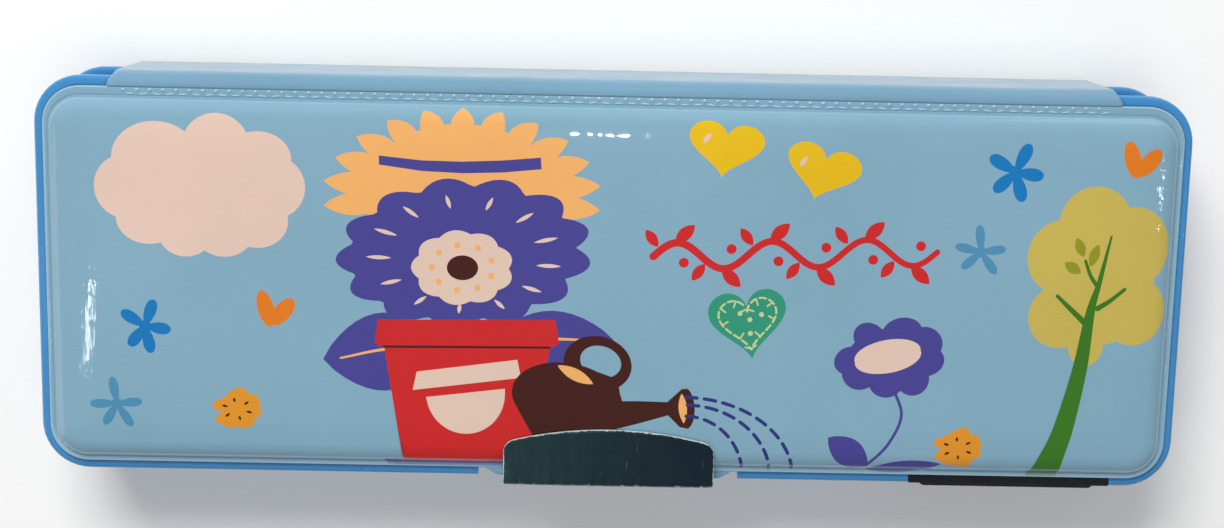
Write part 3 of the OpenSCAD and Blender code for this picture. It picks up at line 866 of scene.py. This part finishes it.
def base_cover():
    """The back cover: a shallow pad with a welded flange, and a recess for its board."""
    _, hi = box_mm("base_skin")
    board_lo, board_hi = box_mm("base_board")
    _, cy, hx, hy, r = grown(*box_mm("base_foam"), 1.7, PAD_R)
    recess = rounded_loop(*grown(board_lo, board_hi, GAP, BASE_BOARD_R))
    edge = rounded_loop(0, 0, hi[0], hi[1], FLANGE_R)
    top, flange = hi[2] - 0.02, hi[2] - 0.5
    loops = [
        (recess, board_lo[2] - GAP), (recess, top), (edge, top), (edge, flange + 0.1),
        (rounded_loop(0, 0, hi[0] - 0.12, hi[1] - 0.12, FLANGE_R - 0.1), flange),
        (rounded_loop(0, cy, hx + 0.2, hy + 0.2, r + 0.2), flange + 0.05),
    ]
    for e in (0.0, 0.06, 0.22, 0.5, 0.9, 1.4, 2.0, 3.0, 4.6, 7.0, 10.0):
        wall = 1 - min(e / 1.6, 1)
        drop = 1.75 * sqrt(1 - wall * wall) + 0.34 * (1 - (1 - min(e / CROWN_RUN, 1)) ** 2)
        loops.append((rounded_loop(0, cy, hx - e, hy - e, max(r - e, 0.8)), flange - drop))
    n = len(loops[0][0])
    points, faces = [], []
    for k, (ring, z) in enumerate(loops):
        soft = 0.05 if 7 < k < len(loops) - 1 else 0.0
        points.extend((x, y, max(0.004, z + soft * wobble(x * 0.25, y * 0.25, 4.0))) for x, y in ring)
    tube(faces, 0, len(loops), n, flip=True)
    ob = mesh_object("base_cover", points, faces, FILM)
    flatten([*ob.data.polygons[: 4 * n], *ob.data.polygons[-2:]])
    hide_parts("base_skin", "base_foam")
    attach(ob, "case")


def spine_cover():
    """Film from the lid's flange over the hinge and down the spine, closed round the spine's board."""
    lo, hi = box_mm("spine_skin")
    film_top = box_mm("hinge_film")[1][2]
    board_lo, board_hi = box_mm("spine_board")
    lid_edge = SKIN_HI[1]
    back, near = hi[1], lo[1]
    top = FLANGE_TOP
    over_hinge = (
        (-0.12, 0.03), (0.25, 0.06), (0.7, 0.02), (1.2, -0.14), (1.75, -0.44), (2.3, -0.80), (2.75, -1.25),
        (3.05, -1.85),
    )
    under = ((0.0, 1.2), (-0.12, 0.6), (-0.42, 0.2), (-0.9, 0.02))
    inside_low = ((0.9, 0.0), (0.3, 0.15), (0.02, 0.6), (0.0, 4.0))
    inside_high = ((0.0, -6.0), (0.0, -1.2), (0.2, -0.3), (0.7, 0.05))
    behind_hinge = ((1.15, -0.05), (0.95, 0.25), (0.35, 0.42))
    straight = top - 4.0  # where the film starts straight down the back
    outer = [(lid_edge + y, top + z) for y, z in over_hinge] + [(back - 0.02, top - 2.7)]
    outer += [(back, straight + (lo[2] + 1.4 - straight) * k / 14) for k in range(14)]
    outer += [(back + y, lo[2] + z) for y, z in under] + [(near + y, lo[2] + z) for y, z in inside_low]
    outer += [(near + y, hi[2] + z) for y, z in inside_high]
    outer += [(near + y, film_top + z) for y, z in behind_hinge]
    outer += [(lid_edge + 0.1, top - 0.46), (lid_edge - 0.12, top - 0.46)]
    near_end = (0, 0.15, 0.5)
    xs = [lo[0] + d for d in near_end]
    xs += [*np.linspace(lo[0] + 1.5, hi[0] - 1.5, 302), *(hi[0] - d for d in near_end[::-1])]
    centre = np.array((near + 1.5, 13.0))
    points, faces = [], []
    for x in xs:
        edge = min(x - lo[0], hi[0] - x)
        shrink = 0.32 * (1 - min(edge / 0.5, 1)) ** 2
        ribs = (0.5 + 0.5 * cos(2 * pi * x / 2.6)) * (0.7 + 0.6 * wobble(x * 0.2, 3.0, 1.0))
        for k, (y, z) in enumerate(outer):
            # Pressed ribs over the hinge, and faint sags down the back, which the board keeps small
            soft = 0.0
            if 1 < k < 9:
                z -= 0.07 * ribs * sin(pi * (k - 1) / 8)
            if 6 < k < 24:
                soft = -0.05 - 0.07 * wobble(x * 0.045, z * 0.12, 2.0) - 0.02 * wobble(x * 0.3, z * 0.3, 8.0)
            d = np.clip(np.array((y, z)) - centre, -shrink, shrink)
            flare = 1 + 0.014 * min(max((back - 0.6 - y) / (back - 0.6 - lid_edge), 0), 1) * (z > 24)
            points.append((x * flare, min(back, y + min(0.0, soft)) - d[0], z - d[1]))
    tube(faces, 0, len(xs), len(outer))
    # The pocket that the board fills
    c = len(points)
    a, b = board_lo - GAP, board_hi + GAP
    b[1] = min(b[1], back - 0.35)
    for x in (a[0], b[0]):
        for y, z in ((a[1], a[2]), (b[1], a[2]), (b[1], b[2]), (a[1], b[2])):
            points.append((x, y, z))
    for face in ((0, 1, 2, 3), (7, 6, 5, 4), (0, 4, 5, 1), (1, 5, 6, 2), (2, 6, 7, 3), (3, 7, 4, 0)):
        faces.append(tuple(c + i for i in face))
    ob = mesh_object("spine_cover", points, faces, FILM)
    flatten(ob.data.polygons[-8:])
    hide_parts("spine_skin", "hinge_film")
    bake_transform(ob)


# ---------------------------------------------------------------- clasp

PLATE_LO, PLATE_HI = box_mm("clasp_plate")
LID_FRONT = SKIN_LO[1]


def foil():
    """Dark teal metallised plastic: fine scratches, a soft cloudiness and bare, bright edges."""
    m = Nodes("clasp_foil")
    worn = m.attribute("worn", "Fac")
    cloud = m.noise(55.0, 4.0, 0.6)
    teal = m.mix(cloud, (0.018, 0.056, 0.066), (0.042, 0.112, 0.122))
    # Navy towards the right, and paler in upright streaks towards the left
    across = m.along("X")
    teal = m.mix(m.span(across, -0.02, 0.02, 0.0, 0.70), teal, (0.018, 0.036, 0.070))
    streak = m.noise(260.0, 2.0, 0.5, m.stretched((2.4, 0.25, 0.25)))
    pale = m.times(m.span(across, -0.019, 0.006, 0.60, 0.0), m.span(streak, 0.35, 0.70, 0.25, 1.0))
    teal = m.mix(pale, teal, (0.070, 0.165, 0.165))
    lines = m.noise(300.0, 3.0, 0.6, m.stretched((0.35, 8.0, 8.0)))
    fine = m.noise(800.0, 2.0, 0.5, m.stretched((6.0, 0.3, 0.3)))
    scratch = m.larger(m.span(lines, 0.70, 0.78, 0.0, 0.35), m.span(fine, 0.70, 0.80, 0.0, 0.35))
    chips = m.noise(1100.0, 5.0, 0.75)
    edge = m.span(m.add(worn, m.span(chips, 0.3, 0.7, -0.42, 0.30)), 0.42, 0.62, 0.0, 1.0)
    bare = m.larger(edge, scratch)
    colour = m.mix(bare, teal, linear(206, 222, 220))
    rough = m.add(m.span(m.noise(320.0, 4.0), 0.3, 0.7, 0.16, 0.30), m.times(bare, 0.22))
    m.bumps((m.noise(60.0, 2.0), 0.09), (lines, 0.008), (fine, 0.006))
    shiny = m.span(bare, 0.0, 1.0, 0.85, 0.30)
    return m.surface(colour, rough, Metallic=shiny, Coat_Weight=0.4, Coat_Roughness=0.12)


def clasp_plate():
    """The metallised plate: an arched top over the lid, a bend, and a face down the front."""
    half = PLATE_HI[0]
    front, z_top, z_bottom = PLATE_LO[1], PLATE_HI[2], PLATE_LO[2]
    reach = PLATE_HI[1] + 1.2  # how far back its top comes at the middle
    arch = 2.9
    bend = 1.15
    thick = 0.85
    yb = front + bend
    arch_r = (half ** 2 + arch ** 2) / (2 * arch)

    def round_off(x, r):
        over = abs(x) - (half - r)
        return r - sqrt(max(0.0, r * r - over * over)) if over > 0 else 0.0

    def y_in(x):
        return reach - (arch_r - sqrt(arch_r ** 2 - x * x)) - round_off(x, 2.0)

    def z_low(x):
        return z_bottom + round_off(x, 3.0)

    near = [0, 0.05, 0.15, 0.3, 0.5, 0.8, 1.2, 1.8, 2.6, 3.6]
    xs = [-half + d for d in near] + [*np.linspace(-half + 5, half - 5, 22)] + [half - d for d in near[::-1]]
    arc = pi / 2 * bend

    def place(x, s, depth):
        """A point at s along the plate from the start of its bend, and depth under its face."""
        dip = 0.10 * (abs(x) / half) ** 3
        if s < 0:
            y, z, ny, nz = yb - s, z_top, 0.0, 1.0
        elif s < arc:
            sine, cosine = sin(s / bend), cos(s / bend)
            y, z, ny, nz = yb - bend * sine, z_top - bend * (1 - cosine), -sine, cosine
        else:
            y, z, ny, nz = front, z_top - bend - (s - arc), -1.0, 0.0
        # The face rounds off into its edges
        return (x, y - ny * (depth + dip * (ny < -0.5)), z - nz * (depth + dip * nz))

    columns, worn = [], []
    for x in xs:
        s0, s1 = -(y_in(x) - yb), arc + (z_top - bend - z_low(x))
        run = [s0 + d for d in near] + [*np.linspace(s0 + 4.2, -0.6, 5)] + [arc * k / 8 for k in range(9)]
        run += [*np.linspace(arc + 1, s1 - 4.4, 8)] + [s1 - d for d in near[::-1]]
        columns.append((x, run, s0, s1))
    m = len(columns[0][1])
    points, faces = [], []
    for side in (0, 1):
        for x, run, s0, s1 in columns:
            for s in run:
                e = min(s - s0, s1 - s, half - abs(x))
                rounding = 0.22 * (1 - min(e / 0.3, 1)) ** 2
                depth = rounding if side == 0 else thick - rounding * 0.5
                points.append(place(x, s, depth))
                on_bend = exp(-((s - arc / 2) / 0.9) ** 2) * 0.42
                worn.append(max(exp(-e / 0.22), on_bend) if side == 0 else 0.55)
    slab_faces(faces, 0, len(columns), m)
    # Cheeks that close the ends of the bend
    lid_top = FLANGE_TOP + 0.06
    y0, y1, z1 = front + 0.75, LID_FRONT + 1.1, z_top - 0.95
    cheek = [(y0, z1), (y1, z1), (y1, lid_top + 1.4), (LID_FRONT + 0.6, lid_top), (y0, lid_top)]
    q = len(cheek)
    for side in (-1, 1):
        base = len(points)
        for x in sorted((side * (half - 0.15), side * (half - 0.95))):
            points.extend((x, y, z) for y, z in cheek)
        worn.extend([0.55] * 2 * q)
        tube(faces, base, 2, q, flip=True)
    ob = mesh_object("clasp_plate_foil", points, faces, foil())
    at = ob.data.attributes.new("worn", "FLOAT", "POINT")
    at.data.foreach_set("value", np.array(worn, np.float32))
    fix_normals(ob)
    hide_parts("clasp_plate")
    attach(ob, "lid")


def clasp_flap():
    """The film flap behind the plate, welded round its two magnets."""
    lo, hi = box_mm("clasp_flap")
    mag_lo, mag_hi = box_mm("clasp_magnets")
    back = lo[1] + 0.02
    body_half, strip_half = 20.0, hi[0] + 2.2
    points, faces = [], []

    def block(x_half, y0, y1, z0, z1, nx, nz, bulge):
        """A soft-edged slab, its +Y face raised where bulge says."""
        base = len(points)
        xs, zs = np.linspace(-x_half, x_half, nx), np.linspace(z0, z1, nz)
        for side in (0, 1):
            for x in xs:
                for z in zs:
                    e = min(x_half - abs(x), z - z0, z1 - z)
                    soft = (1 - min(e / 0.7, 1)) ** 2 * 0.32
                    y = y0 + soft * 0.4 if side == 0 else y1 - soft - bulge(x, z)
                    points.append((x, y, z))
        slab_faces(faces, base, nx, nz)

    mx = (abs(mag_lo[0]) + 3.0) / 2
    mz = (mag_lo[2] + mag_hi[2]) / 2

    def magnets(x, z):
        d = max(abs(abs(x) - mx) - 7.9, abs(z - mz) - 4.9)
        flat = 1 / (1 + exp(-d * 5))
        stitch = 0.16 * (1 if int((x + 60) / 1.1) % 2 else 0) if 1.0 < d < 1.7 else 0.0
        return 0.55 * flat + stitch

    block(body_half, back, hi[1], lo[2], hi[2] - 1.0, 121, 41, magnets)
    # The strip that joins it to the lid's flange, drawn out in a curve to the plate
    base = len(points)
    xs = np.linspace(-strip_half, strip_half, 121)
    beside = 22.2  # half the width over which the strip reaches right out
    share = np.clip((np.abs(xs) - beside) / (strip_half - beside), 0, 1) ** 1.5
    out = LID_FRONT - 0.02 + (back - LID_FRONT + 0.02) * (1 - share * (3 - 2 * share))
    # Its section from the front round to the rear: in from the front, up, and whether it is the rear
    profile = (
        (0.0, -0.42, False), (0.0, -0.06, False), (0.12, 0.0, False), (0.0, 0.0, True), (0.0, -0.42, True)
    )
    for x, y in zip(xs, np.minimum(out, LID_FRONT - 0.10)):
        for inset, rise, rear in profile:
            y_here = LID_FRONT + 0.05 if rear else min(y + inset, LID_FRONT - 0.05)
            points.append((x, y_here, FLANGE_TOP + rise - 0.02))
    tube(faces, base, len(xs), len(profile))
    block(body_half, back, LID_FRONT - 0.02, FLANGE_TOP - 3.2, FLANGE_TOP - 0.40, 41, 9, lambda x, z: 0.0)
    ob = mesh_object("clasp_flap_film", points, faces, FILM)
    fix_normals(ob)
    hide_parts("clasp_flap")
    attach(ob, "lid")


# ---------------------------------------------------------------- carried-over CAD nodes

def finish_node(name, mat, soften=0.0, segments=3):
    """Gives a CAD node its material and, where soften is given in mm, a rounding of its edges."""
    ob = NODES[name]
    ob.data.materials.clear()
    ob.data.materials.append(mat)
    ob.data.polygons.foreach_set("material_index", [0] * len(ob.data.polygons))
    if soften:
        weld = ob.modifiers.new("weld", "WELD")
        weld.merge_threshold = 2e-6
        flat = ob.modifiers.new("flat", "DECIMATE")
        flat.decimate_type = "DISSOLVE"
        flat.angle_limit = radians(0.6)
        edge = ob.modifiers.new("edge", "BEVEL")
        edge.width = soften * MM
        edge.segments = segments
        edge.limit_method = "ANGLE"
        edge.angle_limit = radians(38)
        edge.harden_normals = True
        edge.use_clamp_overlap = True


def lining():
    """Smooth lining film with a faint pressed texture."""
    m = Nodes("lining")
    cells = m.voronoi(900.0)
    m.bumps((cells, 0.02), (m.noise(60.0, 3.0), 0.05))
    pale = toned(m, linear(176, 205, 220), 40.0, 0.04)
    return m.surface(pale, m.span(cells, 0.0, 0.6, 0.38, 0.52))


def card_print():
    """A blank timetable: a ruled grid with a tinted head row and first column."""
    m = Nodes("card")

    def rule(axis, pitch, offset):
        shifted = m.add(m.along(axis), offset)
        cell = m.maths("FRACT", m.maths("DIVIDE", shifted, pitch), 0.0)
        return m.maths("LESS_THAN", cell, 0.00035 / pitch)

    line = m.larger(rule("X", 0.0245, 0.0735), rule("Y", 0.008, 0.024))
    head = m.maths("GREATER_THAN", m.along("Y"), 0.0162)
    first = m.maths("LESS_THAN", m.along("X"), -0.049)
    paper = toned(m, linear(244, 240, 226), 90.0, 0.02)
    paper = m.mix(m.times(first, 0.6), paper, linear(252, 222, 170))
    paper = m.mix(m.times(head, 0.8), paper, linear(150, 196, 222))
    paper = m.mix(line, paper, linear(70, 110, 150))
    m.bumps((m.noise(2400.0, 4.0), 0.01))
    return m.surface(paper, 0.6)


def clear_film():
    """The pocket's clear film, a little cloudy and wavy."""
    m = Nodes("clear_film")
    rough = m.span(m.noise(70.0, 4.0), 0.3, 0.7, 0.06, 0.16)
    m.bumps((m.noise(90.0, 3.0), 0.10))
    tint = toned(m, (0.86, 0.92, 0.95), 60.0, 0.03)
    return m.surface(tint, rough, Alpha=0.22, Coat_Weight=0.6, Coat_Roughness=0.05)


def fibre(name, colour):
    """Board or foam, only seen if a cover is taken off."""
    m = Nodes(name)
    m.bumps((m.noise(900.0, 4.0), 0.05))
    return m.surface(toned(m, colour, 300.0, 0.12), 0.85)


FILM = film("cover_film", linear(110, 148, 172), coat=0.45)
# The weld marks are coloured lighter than the cover film: a painted highlight on each mark
MARKS_PAINTED_HIGHLIGHT = film("marked_film_painted_highlight", linear(160, 192, 210), fine=0.3)
# The tray's crease setting paints shade into its creases and gaps
TRAY = moulded(
    "tray_blue", linear(60, 132, 186), 0.30, coat=0.25, by=0.05, scratches=0.06, sss=0.05, crease=0.9
)
BLACK = moulded("housing_black", (0.007, 0.007, 0.009), 0.20, coat=0.3, scratches=0.06)
SMOKE = moulded("drawer_smoke", (0.010, 0.010, 0.014), 0.12, coat=0.6, grain=0.006, scratches=0.05)
WHITE = moulded("rack_white", linear(226, 232, 234), 0.32, by=0.03, scratches=0.1)
YELLOW = moulded("sharpener_yellow", linear(236, 184, 40), 0.3)
STEEL = metal("steel", (0.70, 0.71, 0.73), 0.24)
BLADE = metal("blade_steel", (0.74, 0.75, 0.78), 0.18, (40.0, 1.0, 1.0))
BOARD = fibre("board", (0.34, 0.29, 0.22))
DARK = metal("magnet", (0.10, 0.10, 0.11), 0.42, (4.0, 4.0, 4.0))

lid_cover()
weld_marks()
base_cover()
spine_cover()
clasp_plate()
clasp_flap()
for finish in (
    ("tray", TRAY, 0.30), ("divider_insert", TRAY, 0.25), ("sharpener_housing", BLACK, 0.30),
    ("sharpener_drawer", SMOKE, 0.28), (
        "sharpener_body", YELLOW, 0.20, 2
    ), ("sharpener_blade", BLADE, 0.06, 1),
    ("sharpener_screw", STEEL, 0.12, 2), ("pencil_rack", WHITE, 0.25, 2), ("rack_axle", STEEL),
    ("strike_plate", STEEL, 0.15, 2), ("clasp_magnets", DARK, 0.2, 2), ("lid_lining", lining()),
    ("card_pocket", clear_film()), ("timetable_card", card_print()), ("lid_board", BOARD),
    ("base_board", BOARD), ("spine_board", BOARD),
):
    finish_node(*finish)


# ---------------------------------------------------------------- floor, light and camera

def floor():
    """A pale floor, 4 m square, just under the case."""
    m = Nodes("floor")
    m.bumps((m.noise(400.0, 4.0), 0.05))
    mat = m.surface(toned(m, (0.88, 0.88, 0.87), 6.0, 0.02), 0.75)
    half, low = 2000.0, -0.2
    corners = [(-half, -half, low), (half, -half, low), (half, half, low), (-half, half, low)]
    mesh_object("floor", corners, [(0, 1, 2, 3)], mat)


def area(name, place, target, size, power, colour=(1, 1, 1), size_y=None, glossy=True):
    """A rectangular lamp aimed at a target, hidden from reflections where glossy is False."""
    light = bpy.data.lights.new(name, "AREA")
    light.shape = "RECTANGLE"
    light.size, light.size_y = size, size_y or size
    light.energy = power
    light.color = colour
    ob = linked(name, light)
    ob.location = place
    ob.rotation_euler = (Vector(target) - Vector(place)).to_track_quat("-Z", "Y").to_euler()
    ob.visible_glossy = glossy


floor()
area("key", (-0.28, 0.90, 0.86), (0, 0, 0), 0.7, 16.5, (1.0, 0.985, 0.96), glossy=False)
area("top", (0.0, -0.1, 1.4), (0, 0, 0), 0.8, 4.6, (0.97, 0.985, 1.0), glossy=False)
area("side", (-1.5, -0.5, 0.5), (0, 0, 0), 0.8, 2.0)
area("back", (0.8, 1.5, 0.5), (0, 0, 0), 0.8, 2.0)
area("front", (0.35, -1.7, 0.55), (0, 0, 0), 0.9, 3.4, glossy=False)
area("lamp_top", (0.01, 0.075, 2.2), (0, 0, 0), 0.04, 0.8, size_y=0.012)
area("lamp_left", (-0.58, -0.33, 1.5), (-0.1, 0, 0), 0.014, 0.2, size_y=0.12)
area("lamp_right", (1.02, -0.19, 1.5), (0.1, 0, 0), 0.014, 0.2, size_y=0.12)

world = bpy.data.worlds.new("studio")
world.use_nodes = True
world.node_tree.nodes["Background"].inputs["Color"].default_value = (0.92, 0.95, 1.0, 1.0)
world.node_tree.nodes["Background"].inputs["Strength"].default_value = 0.20
bpy.context.scene.world = world

camera = bpy.data.cameras.new("camera")
camera.sensor_width = 36.0
camera.lens = 58.8
camera.clip_start, camera.clip_end = 0.01, 20.0
view = linked("camera", camera)
view.location = (-0.0049, 0.0748, 0.4195)
view.rotation_euler = Euler((radians(-10.15), radians(-0.48), radians(1.21)), "XYZ")
bpy.context.scene.camera = view
bpy.context.scene.view_settings.view_transform = "Standard"
